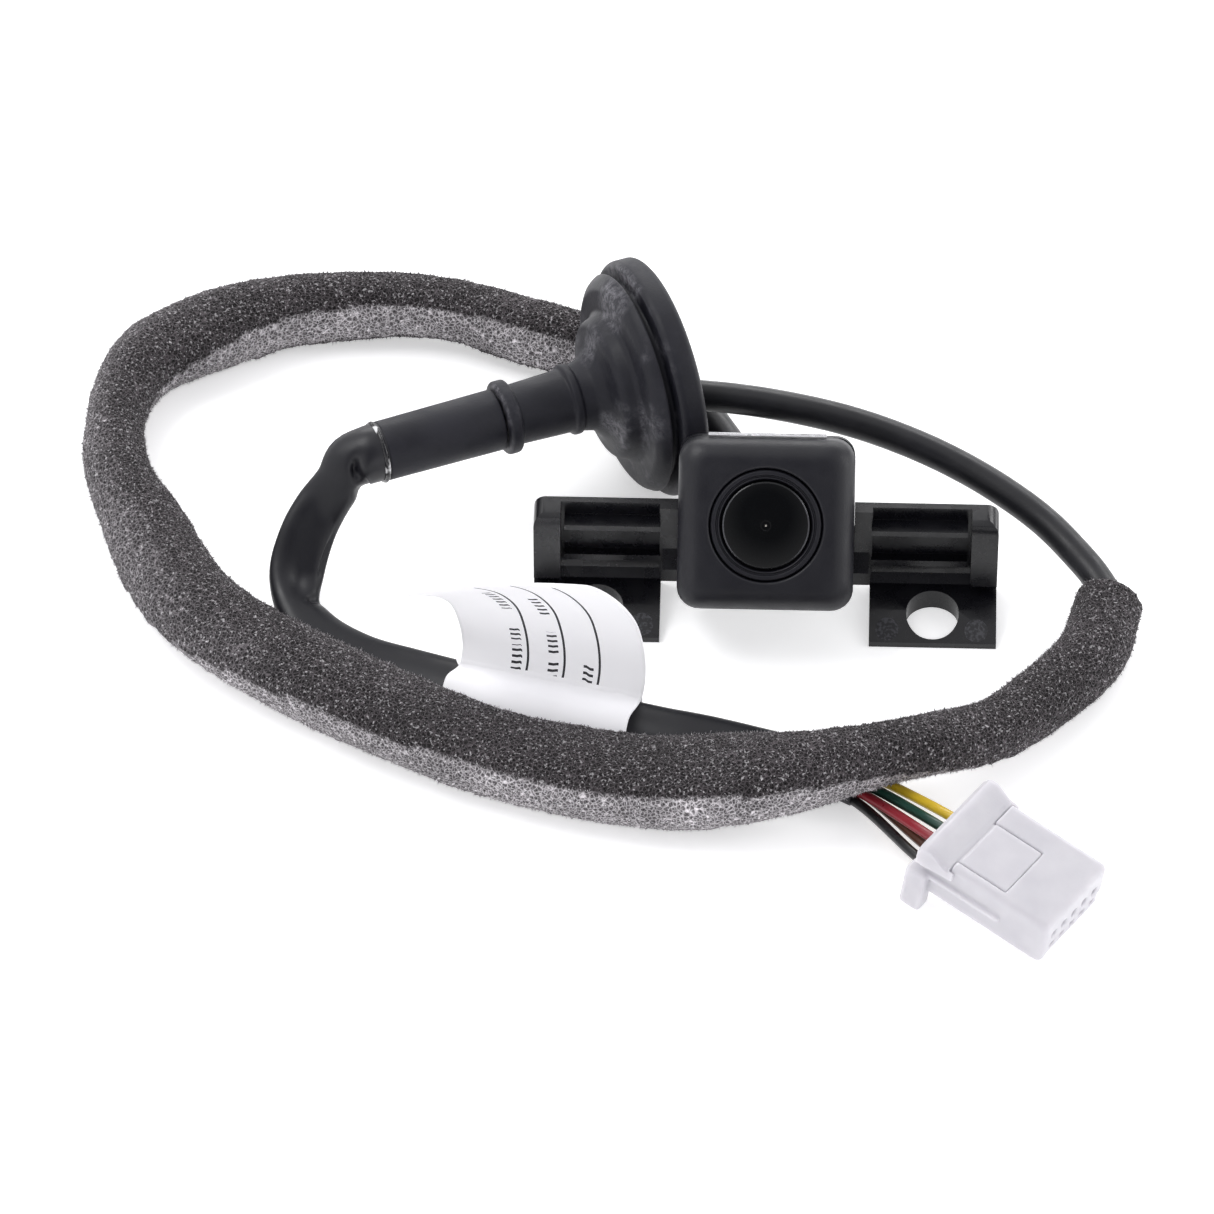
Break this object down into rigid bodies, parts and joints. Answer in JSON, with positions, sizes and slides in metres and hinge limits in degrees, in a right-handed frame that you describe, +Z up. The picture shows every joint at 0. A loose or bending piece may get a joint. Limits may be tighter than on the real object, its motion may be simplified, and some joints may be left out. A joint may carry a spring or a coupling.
{
  "type": "vehicle backup camera",
  "caption": "Square backup camera tilted up in a winged mounting bracket, with a foam-wrapped cable, rubber panel grommet, flag label and white plug-in connector.",
  "frame": {"origin": "on the table under the middle of the camera and its bracket, the harness left out", "axes": "+Z up, +X along the bracket's width, the lens looks towards -Y and 41 degrees up"},
  "size_m": [0.145, 0.1235, 0.0331],
  "materials": {
    "shell": "fine matt moulded ABS",
    "bracket_plastic": "semi-gloss black moulded plastic",
    "glass": "coated optical glass",
    "barrel": "black anodised",
    "rubber": "matt black EPDM with a pale bloom",
    "jacket": "satin black PVC jacket",
    "vinyl": "glossy black PVC tube",
    "foam": "open-cell grey-brown foam",
    "board": "green circuit board",
    "chip": "black moulded package",
    "steel": "zinc-plated steel",
    "tin": "tin-plated brass",
    "nylon": "natural white nylon",
    "paper": "white coated label paper",
    "film": "clear-white protective film",
    "glue": "pale hot-melt adhesive",
    "wire_black": "thin PVC wire insulation",
    "wire_brown": "thin PVC wire insulation",
    "wire_red": "thin PVC wire insulation",
    "wire_green": "thin PVC wire insulation",
    "wire_yellow": "thin PVC wire insulation"
  },
  "bodies": {
    "camera_and_harness": {"front_housing": "shell", "rear_housing": "shell", "lens_retaining_ring": "shell", "bracket": "bracket_plastic", "front_lens": "glass", "second_lens": "glass", "rear_lens": "glass", "ir_filter": "glass", "lens_barrel": "barrel", "aperture_stop": "barrel", "lens_seal": "rubber", "housing_gasket": "rubber", "cable_gland": "rubber", "grommet": "rubber", "seal_sleeve": "rubber", "camera_cable": "jacket", "harness_tube": "vinyl", "foam_sleeve": "foam", "sensor_board": "board", "power_board": "board", "image_sensor": "chip", "board_header": "chip", "housing_screw_1": "steel", "housing_screw_2": "steel", "housing_screw_3": "steel", "housing_screw_4": "steel", "bracket_screw_left": "steel", "bracket_screw_right": "steel", "terminal_black": "tin", "terminal_brown": "tin", "terminal_red": "tin", "terminal_green": "tin", "terminal_yellow": "tin", "connector_housing": "nylon", "harness_label": "paper", "top_film": "film", "adhesive_bead": "glue", "wire_black": "wire_black", "wire_brown": "wire_brown", "wire_red": "wire_red", "wire_green": "wire_green", "wire_yellow": "wire_yellow"},
    "latch_lever": {"latch_lever": "nylon"},
    "connector_retainer": {"connector_retainer": "nylon"}
  },
  "joints": [
    {"name": "latch_press", "type": "hinge", "parent": "camera_and_harness", "child": "latch_lever", "pos_m": [0.03438, -0.05802, 0.00857], "axis": [-0.5664, -0.8241, 0], "range_deg": [0, 4], "stiffness_Nm_per_rad": 0.02},
    {"name": "retainer_slide", "type": "slide", "parent": "camera_and_harness", "child": "connector_retainer", "axis": [0.8151, -0.5602, -0.1478], "range_m": [0, 0.001]}
  ]
}
